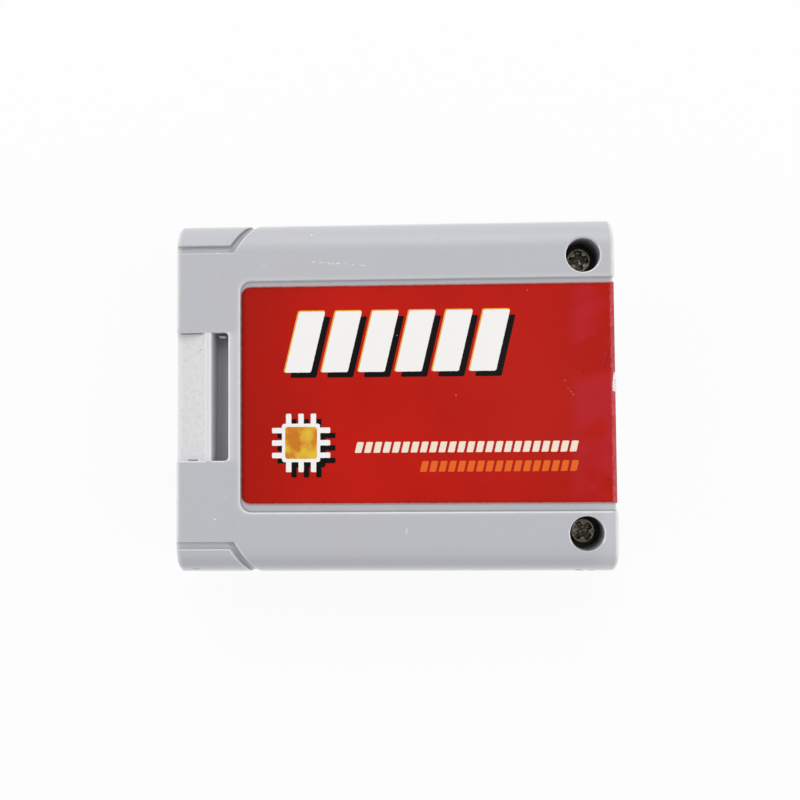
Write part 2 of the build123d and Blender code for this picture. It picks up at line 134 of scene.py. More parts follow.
def newGroup(name, inputs, outputs):
    group = bpy.data.node_groups.new(name, "ShaderNodeTree")
    for label, (kind, value) in inputs.items():
        socket = group.interface.new_socket(name=label, in_out="INPUT", socket_type="NodeSocket" + kind)
        socket.default_value = value
    for label, kind in outputs.items():
        group.interface.new_socket(name=label, in_out="OUTPUT", socket_type="NodeSocket" + kind)
    start = group.nodes.new("NodeGroupInput")
    end = group.nodes.new("NodeGroupOutput")
    return group, start.outputs, end.inputs


def placeGroup(tree, group, place, inputs):
    node = tree.nodes.new("ShaderNodeGroup")
    node.node_tree = group
    for name, value in {"Place": place, **inputs}.items():
        feed(tree, node.inputs[name], value)
    return node.outputs


def newFinish(name):  # a material with its shader and the place on the card in millimetres
    material = bpy.data.materials.new(name)
    material.use_nodes = True
    tree = material.node_tree
    shader = tree.nodes["Principled BSDF"]
    place = scaled(tree, addNode(tree, "TexCoord").outputs["Object"], 1.0 / millimetre)
    return material, tree, shader, place


def bumpFrom(tree, height, depth):  # depth in millimetres for a height of one
    inputs = {"Height": height, "Distance": depth * millimetre, "Strength": 1.0}
    return addNode(tree, "Bump", inputs).outputs[0]


def wireShader(tree, shader, colour, roughness, normal):
    for name, value in (("Base Color", colour), ("Roughness", roughness), ("Normal", normal)):
        feed(tree, shader.inputs[name], value)


def dress(material, *names):
    for name in names:
        piece = nodes[name]
        for slot in piece.material_slots:
            slot.material = material


# effects that several finishes share

effectLook = {  # noises give per millimetre, detail and roughness
    "grainDetail": (3.0, 0.6),
    "broadNoise": (0.16, 3.0, 0.6),
    "driftDetail": 3.0,
    "driftSteps": (0.3, 0.7),
    "speckNoise": 9.0,
    "strokeNoise": (2.3, 4.0, 0.75),
    "strokeFade": 0.12,
    "streakNoise": (3.0, 4.0, 0.65),
    "tarnishNoise": (0.7, 3.0, 0.6),
    "tarnishSteps": (0.3, 0.75),
    "printSoft": 0.03,
}
origin = ("Vector", (0, 0, 0))


def buildMouldGrain(look):  # satin skin of moulded parts
    group, start, end = newGroup(
        "mouldGrain",
        {"Place": origin, "Grain": ("Float", 4.0), "Gloss": ("Float", 0.4), "Spread": ("Float", 0.1)},
        {"Height": "Float", "Roughness": "Float"},
    )
    fine = noiseAt(group, start["Place"], start["Grain"], *look["grainDetail"])
    broad = noiseAt(group, start["Place"], *look["broadNoise"])
    swing = calc(group, "MULTIPLY", calc(group, "SUBTRACT", broad, 0.5), start["Spread"])
    feed(group, end["Height"], fine)
    feed(group, end["Roughness"], calc(group, "ADD", start["Gloss"], swing))
    return group


def buildToneDrift(look):  # slow change of shade over a surface
    grey = ("Color", (0.5, 0.5, 0.5, 1))
    group, start, end = newGroup(
        "toneDrift",
        {"Place": origin, "Size": ("Float", 0.1), "Amount": ("Float", 0.05), "Colour": grey, "Drift To": grey},
        {"Colour": "Color"},
    )
    cloud = rise(group, noiseAt(group, start["Place"], start["Size"], look["driftDetail"]), *look["driftSteps"])
    amount = calc(group, "MULTIPLY", cloud, start["Amount"])
    feed(group, end["Colour"], blendColour(group, amount, start["Colour"], start["Drift To"]))
    return group


def buildSpecks(look):  # scattered flecks, one in a few cells of a cell pattern
    group, start, end = newGroup(
        "scatteredSpecks",
        {"Place": origin, "Per Millimetre": ("Float", 0.5), "Share": ("Float", 0.1), "Radius": ("Float", 0.08)},
        {"Mask": "Float"},
    )
    cells = addNode(group, "TexVoronoi", {"Vector": start["Place"], "Scale": start["Per Millimetre"]})
    distance = calc(group, "DIVIDE", cells.outputs["Distance"], start["Per Millimetre"])
    ragged = calc(group, "MULTIPLY", noiseAt(group, start["Place"], look["speckNoise"]), start["Radius"])
    disc = rise(group, calc(group, "SUBTRACT", distance, ragged), start["Radius"], 0.0)
    lucky = addNode(group, "SeparateColor", {0: cells.outputs["Color"]}).outputs[0]
    chosen = calc(group, "LESS_THAN", lucky, start["Share"])
    feed(group, end["Mask"], calc(group, "MULTIPLY", disc, chosen))
    return group


def buildStroke(look):  # a broken scratch from one point to another, seen from the front
    group, start, end = newGroup(
        "brokenStroke",
        {"Place": origin, "From": origin, "To": ("Vector", (1, 0, 0)), "Width": ("Float", 0.2),
         "Gaps": ("Float", 0.5)},
        {"Mask": "Float"},
    )
    flat = vectorCalc(group, "SUBTRACT", start["Place"], start["From"])
    flat = vectorCalc(group, "MULTIPLY", flat, (1, 1, 0))
    run = vectorCalc(group, "SUBTRACT", start["To"], start["From"])
    share = calc(group, "DIVIDE", vectorCalc(group, "DOT_PRODUCT", flat, run),
                 vectorCalc(group, "DOT_PRODUCT", run, run))
    nearest = scaled(group, run, addNode(group, "Clamp", {0: share}).outputs[0])
    distance = vectorCalc(group, "LENGTH", vectorCalc(group, "SUBTRACT", flat, nearest))
    line = rise(group, distance, start["Width"], 0.0)
    broken = noiseAt(group, start["Place"], *look["strokeNoise"])
    kept = rise(group, broken, start["Gaps"], calc(group, "ADD", start["Gaps"], look["strokeFade"]))
    feed(group, end["Mask"], calc(group, "MULTIPLY", line, kept))
    return group


def buildRegion():  # one inside a box, fading out over its soft border
    group, start, end = newGroup(
        "regionMask",
        {"Place": origin, "Centre": origin, "Half Size": ("Vector", (1, 1, 1)), "Soft": ("Float", 0.1)},
        {"Mask": "Float"},
    )
    offset = vectorCalc(group, "ABSOLUTE", vectorCalc(group, "SUBTRACT", start["Place"], start["Centre"]))
    outside = highest(group, *axes(group, vectorCalc(group, "SUBTRACT", offset, start["Half Size"])))
    feed(group, end["Mask"], rise(group, outside, start["Soft"], 0.0))
    return group


def buildBrushed(look):  # drawn or rubbed metal, streaked along its longest stretch
    group, start, end = newGroup(
        "brushedMetal",
        {"Place": origin, "Stretch": ("Vector", (1, 1, 1)), "Gloss": ("Float", 0.3), "Spread": ("Float", 0.2)},
        {"Height": "Float", "Roughness": "Float", "Tone": "Float"},
    )
    drawn = vectorCalc(group, "MULTIPLY", start["Place"], start["Stretch"])
    streak = noiseAt(group, drawn, *look["streakNoise"])
    patch = noiseAt(group, start["Place"], *look["tarnishNoise"])
    swing = calc(group, "MULTIPLY", calc(group, "SUBTRACT", streak, 0.5), start["Spread"])
    feed(group, end["Height"], streak)
    feed(group, end["Roughness"], calc(group, "ADD", start["Gloss"], swing))
    feed(group, end["Tone"], rise(group, patch, *look["tarnishSteps"]))
    return group


def buildPrintBlocks(look):  # a row of leaning printed blocks, or one block when the count is one
    group, start, end = newGroup(
        "printBlocks",
        {"Place": origin, "First": origin, "Half Size": ("Vector", (1, 1, 0)), "Pitch": ("Float", 1.0),
         "Count": ("Float", 1.0), "Lean": ("Float", 0.0), "Corner": ("Float", 0.2)},
        {"Mask": "Float", "Distance": "Float"},
    )
    x, y = axes(group, vectorCalc(group, "SUBTRACT", start["Place"], start["First"]))[:2]
    straight = calc(group, "SUBTRACT", x, calc(group, "MULTIPLY", y, start["Lean"]))
    nearest = calc(group, "ROUND", calc(group, "DIVIDE", straight, start["Pitch"]))
    last = calc(group, "SUBTRACT", start["Count"], 1.0)
    step = calc(group, "MINIMUM", calc(group, "MAXIMUM", nearest, 0.0), last)
    along = calc(group, "SUBTRACT", straight, calc(group, "MULTIPLY", step, start["Pitch"]))
    reach = vectorCalc(group, "ABSOLUTE", joined(group, along, y))
    overX, overY = axes(group, vectorCalc(group, "SUBTRACT", reach, start["Half Size"]))[:2]
    corner = [calc(group, "MAXIMUM", calc(group, "ADD", over, start["Corner"]), 0.0) for over in (overX, overY)]
    rounded = calc(group, "SUBTRACT", vectorCalc(group, "LENGTH", joined(group, *corner)), start["Corner"])
    within = calc(group, "MINIMUM", calc(group, "MAXIMUM", overX, overY), 0.0)
    distance = calc(group, "MAXIMUM", rounded, within)
    feed(group, end["Mask"], rise(group, distance, look["printSoft"], -look["printSoft"]))
    feed(group, end["Distance"], distance)
    return group


mouldGrain = buildMouldGrain(effectLook)
toneDrift = buildToneDrift(effectLook)
scatteredSpecks = buildSpecks(effectLook)
brokenStroke = buildStroke(effectLook)
regionMask = buildRegion()
brushedMetal = buildBrushed(effectLook)
printBlocks = buildPrintBlocks(effectLook)
print("shared effects built")


# case halves in grey plastic

caseLook = {  # steps give from, to and, where they aren't 0 and 1, the first and last level
    "grey": (0.525, 0.525, 0.553, 1),
    "coolGrey": (0.505, 0.525, 0.563, 1),
    "mottle": (0.46, 0.46, 0.48, 1),
    "rubbedAndHighlit": (0.74, 0.74, 0.75, 1),
    "highlightGrey": (0.84, 0.84, 0.85, 1),
    "scuffWhite": (0.86, 0.86, 0.87, 1),
    "grimeAndShade": (0.035, 0.033, 0.030, 1),
    "skin": {"Grain": 3.2, "Gloss": 0.40, "Spread": 0.14},
    "grainDepth": 0.004,
    "rubbedDull": 0.2,
    "drift": {"Size": 0.045, "Amount": 0.8},
    "mottlePatches": ((1.3, 5.0, 0.7), (0.55, 0.75, 0.0, 0.5)),
    "rubPatches": ((1.6, 6.0, 0.72), (0.36, 0.56, 0.7, 1.0)),
    "highlightPatches": ((0.5, 3.0), (0.2, 0.6, 0.75, 1.0)),
    "ramp": {"Centre": (-28.85, 0.0, 15.3), "Half Size": (2.05, 9.0, 0.75), "Soft": 0.12},
    "bar": {"Centre": (-26.38, 0.0, 15.9), "Half Size": (0.43, 9.0, 0.3), "Soft": 0.1},
    "bridge": {"Centre": (-22.65, 0.0, 16.0), "Half Size": (0.3, 8.4, 0.3), "Soft": 1.6},
    "pocket": {"Centre": (-24.7, 0.0, 14.0), "Half Size": (1.3, 9.1, 1.4), "Soft": 0.2},
    "lowerGroove": {"Centre": (-27.0, -20.905, 14.6), "Half Size": (4.5, 0.45, 1.0), "Soft": 0.1},
    "recess": {"First": (5.1, 0.0, 0.0), "Half Size": (26.9, 16.305, 0.0), "Corner": 1.5},
    "barHighlight": 0.95,
    "bridgeHighlight": 0.26,
    "rimTop": (0.99, 0.94),
    "rimFoot": (0.1, 0.25),
    "rimFacing": (-0.5, -0.15, 0.35, 1.0),
    "rimHeight": (15.3, 15.5),
    "rimAcross": (20.85, 20.55),
    "rimTail": (30.3, 30.0),
    "rimAmount": 0.78,
    "upperSide": (10.0, 13.0),
    "mouthEnd": (-30.1, -30.85),
    "tailEnd": (30.1, 30.6),
    "endFacing": (0.05, 0.3),
    "endAmount": 0.76,
    "sideAcross": (24.2, 24.9),
    "sideAmount": 0.72,
    "tailAlong": (27.0, 29.5),
    "tailAcross": (5.0, -5.0),
    "tailHeight": (13.0, 15.0),
    "tailWash": 0.16,
    "haloReach": (0.7, 0.05),
    "haloHeight": (15.8, 15.95),
    "haloAmount": 0.24,
    "latchAcross": (9.2, 8.8),
    "latchHeight": (15.7, 15.85),
    "latchHalo": (-22.6, -23.5),
    "latchHaloEnd": -23.6,
    "latchHaloAmount": 0.35,
    "latchRims": (-26.02, -23.34),
    "latchRimWidth": (0.18, 0.05),
    "lowerGrooveAmount": 0.12,
    "grooveCentre": (-3.709, 10.239),
    "grooveRadius": 22.0,
    "grooveHalfWidth": 0.515,
    "grooveSoft": 0.15,
    "grooveRim": 0.595,
    "grooveRimWidth": (0.16, 0.04),
    "grooveRimAmount": 0.6,
    "grooveShade": 0.22,
    "bendAcross": (20.3, 20.8),
    "bendAlong": (-18.0, -18.6),
    "bendHeight": (9.5, 10.5),
    "padAcross": (21.4, 21.6),
    "padEdge": -21.48,
    "leadWidth": (0.14, 0.03),
    "leadAlong": (-23.0, -23.3),
    "leadHeight": (15.5, 15.7),
    "pocketShade": (-25.7, -25.2, 0.26, 0.52),
    "pocketLight": (-25.1, -23.6, 0.0, 0.26),
    "pocketHeight": (15.7, 14.0),
    "seamPlace": -0.1,
    "seamWidth": (0.16, 0.03),
    "seamTop": (15.75, 15.6),
    "seamFoot": (15.0, 15.2),
    "seamShade": (10.0, 16.0, 0.30, 0.06),
    "recessInside": (-0.1, -0.2),
    "recessFloor": (14.9, 15.1),
    "recessShade": 0.04,
    "crumbs": {"Per Millimetre": 0.9, "Share": 0.3, "Radius": 0.09},
    "crumbAmount": 0.9,
    "lowerShadeTop": (-22.0, -23.4),
    "lowerShadeFoot": (-24.3, -23.7),
    "lowerShadeHeight": (11.0, 13.0),
    "lowerShadeBand": 0.13,
    "screwPlaces": ((26.5, 19.38), (26.5, -19.38)),
    "screwWellRadius": 2.42,
    "wellMouth": (15.8, 15.5, 0.0, 0.48),
    "wellDepth": (15.4, 12.6, 0.0, 0.36),
    "wellFoot": (8.6, 9.0),
    "dust": {"Per Millimetre": 0.3, "Share": 0.15, "Radius": 0.07},
    "dustAmount": 0.4,
    "scuffs": (  # from, to, width, gaps
        ((-11.4, 18.9), (-2.8, 18.2), 0.22, 0.52),
        ((-9.0, 18.6), (-6.5, 18.7), 0.16, 0.46),
        ((-18.6, 18.5), (-17.0, 18.6), 0.11, 0.52),
        ((-11.75, 22.9), (-11.6, 22.95), 0.13, 0.10),
        ((-25.4, -17.27), (-25.2, -17.17), 0.15, 0.10),
        ((-23.85, -14.2), (-23.75, -14.15), 0.09, 0.10),
        ((1.6, -18.6), (1.55, -19.3), 0.08, 0.10),
        ((-25.3, 20.45), (-24.9, 20.4), 0.16, 0.10),
    ),
    "darkMarks": (
        ((-29.0, -24.39), (-28.1, -24.46), 0.09, 0.25),
        ((-29.4, -8.95), (-28.0, -8.95), 0.20, 0.40),
        ((-30.4, 9.0), (-27.3, 9.0), 0.10, 0.30),
        ((-27.5, 6.7), (-27.45, 6.72), 0.10, 0.10),
        ((25.2, -24.68), (26.1, -24.90), 0.11, 0.22),
        ((25.6, -24.68), (26.4, -24.88), 0.09, 0.22),
        ((27.0, -24.76), (27.9, -24.95), 0.10, 0.22),
        ((27.4, -24.76), (28.1, -24.93), 0.08, 0.22),
    ),
    "darkMarkAmount": 0.85,
}
markFloor = 12.0  # scratches stay above this height


def region(tree, place, box):
    return placeGroup(tree, regionMask, place, box)[0]


def strokes(tree, place, marks):  # all the marks of one list in one mask, on the front only
    total = 0.0
    for first, last, width, gaps in marks:
        inputs = {"From": (*first, 0), "To": (*last, 0), "Width": width, "Gaps": gaps}
        total = calc(tree, "MAXIMUM", total, placeGroup(tree, brokenStroke, place, inputs)[0])
    return calc(tree, "MULTIPLY", total, calc(tree, "GREATER_THAN", axes(tree, place)[2], markFloor))


def grooveBend(tree, place, look):  # painted shade on the floor and painted highlight on the rims of the grooves where they bend down the sides
    step = stepper(tree, look)
    x, y, z = axes(tree, place)
    across = calc(tree, "ABSOLUTE", y)
    flat = joined(tree, calc(tree, "SUBTRACT", x, look["grooveCentre"][0]),
                  calc(tree, "SUBTRACT", across, look["grooveCentre"][1]))
    offset = calc(tree, "SUBTRACT", vectorCalc(tree, "LENGTH", flat), look["grooveRadius"])
    half = look["grooveHalfWidth"]
    bend = product(tree, step(across, "bendAcross"), step(x, "bendAlong"), step(z, "bendHeight"))
    floor = rise(tree, calc(tree, "ABSOLUTE", offset), half, half - look["grooveSoft"])
    plateRim = step(apart(tree, offset, -look["grooveRim"]), "grooveRimWidth")
    padRim = step(apart(tree, offset, look["grooveRim"]), "grooveRimWidth")
    padRim = product(tree, padRim, calc(tree, "LESS_THAN", y, 0.0), step(across, "padAcross"))
    lead = step(apart(tree, y, look["padEdge"]), "leadWidth")
    lead = product(tree, lead, step(x, "leadAlong"), step(z, "leadHeight"))
    rims = highest(tree, lead, product(tree, highest(tree, plateRim, padRim), bend))
    return product(tree, floor, bend), rims


def makeCasePlastic(look):
    material, tree, shader, place = newFinish("casePlastic")
    step = stepper(tree, look)
    x, y, z = axes(tree, place)
    across = calc(tree, "ABSOLUTE", y)
    facingY, facingZ = facing(tree)[1:]
    colour = placeGroup(tree, toneDrift, place, {
        **look["drift"], "Colour": look["grey"], "Drift To": look["coolGrey"]})[0]
    mottled = patches(tree, place, look["mottlePatches"])
    colour = blendColour(tree, mottled, colour, look["mottle"])

    ramp = region(tree, place, look["ramp"])
    rubbedAndHighlit = highest(  # rubbed wear on the socket ramp, painted highlight on its catch bar and the strip beside the pocket
        tree,
        product(tree, ramp, patches(tree, place, look["rubPatches"])),
        product(tree, region(tree, place, look["bar"]), look["barHighlight"]),
        product(tree, region(tree, place, look["bridge"]), look["bridgeHighlight"]),
    )
    colour = blendColour(tree, rubbedAndHighlit, colour, look["rubbedAndHighlit"])

    # painted highlight: lighter rims facing the light, end and side edges, tail, recess and latch outlines,
    # groove rims and the lower groove floor
    rims = product(tree, step(facingZ, "rimTop"), step(facingZ, "rimFoot"), step(facingY, "rimFacing"),
                   step(z, "rimHeight"), step(across, "rimAcross"), step(x, "rimTail"),
                   calc(tree, "SUBTRACT", 1.0, ramp), look["rimAmount"])
    ends = highest(tree, step(x, "mouthEnd"), step(x, "tailEnd"))
    ends = product(tree, ends, step(z, "upperSide"), step(facingZ, "endFacing"), look["endAmount"])
    sides = product(tree, step(across, "sideAcross"), step(z, "upperSide"), look["sideAmount"])
    tail = product(tree, step(x, "tailAlong"), step(y, "tailAcross"), step(z, "tailHeight"), look["tailWash"])
    recess = placeGroup(tree, printBlocks, place, look["recess"])["Distance"]
    halo = product(tree, step(recess, "haloReach"), step(z, "haloHeight"), look["haloAmount"])
    alongLatch = product(tree, step(across, "latchAcross"), step(z, "latchHeight"))
    latchHalo = product(tree, step(x, "latchHalo"), calc(tree, "GREATER_THAN", x, look["latchHaloEnd"]),
                        alongLatch, look["latchHaloAmount"])
    latchLines = highest(tree, *[step(apart(tree, x, line), "latchRimWidth") for line in look["latchRims"]])
    latchLines = product(tree, latchLines, alongLatch)
    bendFloor, bendRims = grooveBend(tree, place, look)
    bendRims = product(tree, bendRims, look["grooveRimAmount"])
    lowerGroove = product(tree, region(tree, place, look["lowerGroove"]), look["lowerGrooveAmount"])
    paintedHighlight = highest(tree, rims, ends, bendRims, halo, latchHalo, latchLines, tail, sides, lowerGroove)
    patchy = patches(tree, place, look["highlightPatches"])
    colour = blendColour(tree, product(tree, paintedHighlight, patchy), colour, look["highlightGrey"])

    # painted shade in the latch pocket, along the recess seam, on the recess floor, lower rounding, groove
    # bends and screw wells, with crumbs and dark marks
    pocket = region(tree, place, look["pocket"])
    sideways = calc(tree, "SUBTRACT", step(x, "pocketShade"), step(x, "pocketLight"))
    shaded = product(tree, pocket, step(z, "pocketHeight"), sideways)
    seam = step(apart(tree, recess, look["seamPlace"]), "seamWidth")
    seam = product(tree, seam, step(z, "seamTop"), step(z, "seamFoot"), step(y, "seamShade"))
    sunken = product(tree, step(recess, "recessInside"), step(z, "recessFloor"), look["recessShade"])
    crumbs = placeGroup(tree, scatteredSpecks, place, look["crumbs"])[0]
    crumbs = product(tree, crumbs, pocket, look["crumbAmount"])
    # painted shade on the lower rounded side
    darkened = product(tree, step(y, "lowerShadeTop"), step(y, "lowerShadeFoot"), step(z, "lowerShadeHeight"),
                      look["lowerShadeBand"])
    inGrooves = product(tree, bendFloor, look["grooveShade"])
    marks = product(tree, strokes(tree, place, look["darkMarks"]), look["darkMarkAmount"])
    grimeAndShade = highest(tree, shaded, seam, sunken, darkened, crumbs, inGrooves, marks)
    down = calc(tree, "ADD", step(z, "wellMouth"), step(z, "wellDepth"))
    down = product(tree, down, step(z, "wellFoot"))
    for screwX, screwY in look["screwPlaces"]:  # painted shade deepens down the screw wells
        flat = joined(tree, calc(tree, "SUBTRACT", x, screwX), calc(tree, "SUBTRACT", y, screwY))
        inWell = calc(tree, "LESS_THAN", vectorCalc(tree, "LENGTH", flat), look["screwWellRadius"])
        grimeAndShade = highest(tree, grimeAndShade, product(tree, inWell, down))
    colour = blendColour(tree, grimeAndShade, colour, look["grimeAndShade"])
    colour = blendColour(tree, strokes(tree, place, look["scuffs"]), colour, look["scuffWhite"])
    dust = placeGroup(tree, scatteredSpecks, place, look["dust"])[0]
    colour = blendColour(tree, product(tree, dust, look["dustAmount"]), colour, look["scuffWhite"])

    grain = placeGroup(tree, mouldGrain, place, look["skin"])
    roughness = calc(tree, "MULTIPLY_ADD", rubbedAndHighlit, look["rubbedDull"], grain["Roughness"])
    wireShader(tree, shader, colour, roughness, bumpFrom(tree, grain["Height"], look["grainDepth"]))
    return material


dress(makeCasePlastic(caseLook), "front_shell", "rear_shell")
print("case plastic done")


# printed paper label

labelLook = {
    "red": (0.54, 0.0105, 0.0045, 1),
    "deepRed": (0.39, 0.0080, 0.0030, 1),
    "sheenRed": (0.48, 0.015, 0.021, 1),
    "white": (0.93, 0.92, 0.90, 1),
    "black": (0.006, 0.004, 0.004, 1),
    "fringe": (0.85, 0.42, 0.06, 1),
    "gold": (0.80, 0.52, 0.05, 1),
    "goldShade": (0.62, 0.20, 0.02, 1),
    "cream": (0.90, 0.80, 0.66, 1),
    "orange": (0.80, 0.14, 0.02, 1),
    "paper": (0.80, 0.76, 0.74, 1),
    "wornInkAndHighlight": (0.58, 0.115, 0.12, 1),
    "bendRed": (0.22, 0.022, 0.045, 1),
    "creaseRed": (0.24, 0.012, 0.010, 1),
    "edgeRed": (0.14, 0.007, 0.003, 1),
    "edgePink": (0.50, 0.26, 0.26, 1),
    "film": {"Grain": 0.9, "Gloss": 0.27, "Spread": 0.10},
    "bareDull": 0.45,
    "specular": 0.2,
    "waveNoise": (0.13, 2.0),
    "waveHeight": 12.0,
    "dentDepth": 6.0,
    "reliefDepth": 0.006,
    "drift": {"Size": 0.07, "Amount": 0.5},
    "leftShade": (-8.0, -22.0, 0.0, 0.85),
    "rightShade": (8.0, 24.0, 0.0, 0.35),
    "sheenAlong": (23.5, 26.5),
    "sheenPatches": ((0.22, 4.0), (0.38, 0.62)),
    "jitterPerMillimetre": 4.0,
    "edgeJitter": 0.10,
    "shadowShift": (0.75, -0.75, 0),
    "fringeShift": (-0.12, 0.10, 0),
    "fringeGrow": 0.06,
    "lean": 0.24,
    "blocks": {"First": (-12.6, 7.6, 0), "Half Size": (1.85, 4.3, 0), "Pitch": 5.2, "Count": 6.0,
               "Corner": 0.25},
    "chipPlace": (-13.2, -6.6, 0),
    "chipBody": {"Half Size": (2.7, 2.7, 0), "Corner": 0.4},
    "chipLegs": {"Half Size": (0.38, 4.1, 0), "Pitch": 1.75, "Count": 3.0, "Corner": 0.15},
    "coreGrow": -0.45,
    "marblePatches": ((0.55, 4.0), (0.35, 0.65)),
    "tick": {"Half Size": (0.46, 0.75, 0), "Pitch": 1.3, "Corner": 0.12},
    "ticks": (("cream", (-5.0, -7.3, 0), 24.0), ("orange", (4.1, -10.0, 0), 17.0)),  # ink, first, count
    "outline": {"First": (19.15, 0.19, 0.0), "Half Size": (40.85, 15.395, 0.0), "Corner": 1.4},
    "frontHeight": (15.60, 15.66),
    "leftSide": (-20.6, -21.4),
    "darkerEdge": (-0.5, -0.2, 0.0, 0.36),
    "darkerEdgeLeft": (-0.9, -0.1, 0.0, 0.65),
    "crumbleNoise": (1.4, 6.0, 0.75),
    "frayRagged": 0.3,
    "frayLeft": -0.09,
    "frayReach": (-0.2, -0.06),
    "frayAmount": 0.75,
    "foldRagged": 0.6,
    "foldAlong": (30.02, 30.32),
    "foldHeight": (14.9, 15.2),
    "foldPatches": (0.36, 0.62, 0.35, 0.85),
    "bendTop": (15.68, 15.58),
    "bendFoot": (15.15, 15.35),
    "bendPatches": ((0.5, 4.0, 0.7), (0.36, 0.60, 0.25, 0.8)),
    "cutFacing": (0.6, 0.3),
    "cutHeight": (15.5, 15.6),
    "cutAmount": 0.5,
    "tear": {"From": (30.80, 2.6, 15.6), "To": (30.62, 0.55, 15.6), "Width": 0.62, "Gaps": 0.2},
    "tearJitter": 5.0,
    "tearInside": (0.3, 0.5),
    "tearHeight": (14.6, 15.1),
    "flecks": {"Per Millimetre": 0.25, "Share": 0.2, "Radius": 0.06},
    "fleckAmount": 0.6,
    "scratches": (
        ((24.16, 0.77), (24.98, -0.22), 0.09, 0.42),
        ((23.72, 1.82), (23.8, 1.82), 0.10, 0.10),
        ((18.68, 14.6), (18.75, 14.6), 0.10, 0.10),
    ),
    "scratchAmount": 0.28,
    "darkSpecks": (((26.25, 3.15), (26.3, 3.05), 0.16, 0.10),),
    "darkSpeckAmount": 0.6,
    "creases": (
        ((29.95, 6.1), (29.35, 3.6), 0.20, 0.30),
        ((29.75, 5.2), (30.1, 3.4), 0.16, 0.36),
        ((29.6, -11.8), (30.1, -13.2), 0.14, 0.40),
    ),
    "creaseAmount": 0.55,
}


def shifted(place, shift):
    return tuple(a + b for a, b in zip(place, shift))


def printRow(tree, place, row, shift=(0, 0, 0), grow=0.0, lean=0.0):
    inputs = dict(row, Lean=lean)
    inputs["First"] = shifted(row["First"], shift)
    inputs["Half Size"] = shifted(row["Half Size"], (grow, grow, 0))
    return placeGroup(tree, printBlocks, place, inputs)[0]


def chipPicture(tree, place, look, shift=(0, 0, 0)):  # square body with three legs through each way
    centre = shifted(look["chipPlace"], shift)
    x, y = axes(tree, place)[:2]
    views = ((place, centre[0], centre[1]), (joined(tree, y, x), centre[1], centre[0]))
    body = dict(look["chipBody"], First=centre)
    shapes = [printRow(tree, place, body)]
    for view, middle, level in views:
        legs = dict(look["chipLegs"], First=(middle - look["chipLegs"]["Pitch"], level, 0))
        shapes.append(printRow(tree, view, legs))
    return highest(tree, *shapes), printRow(tree, place, body, grow=look["coreGrow"])


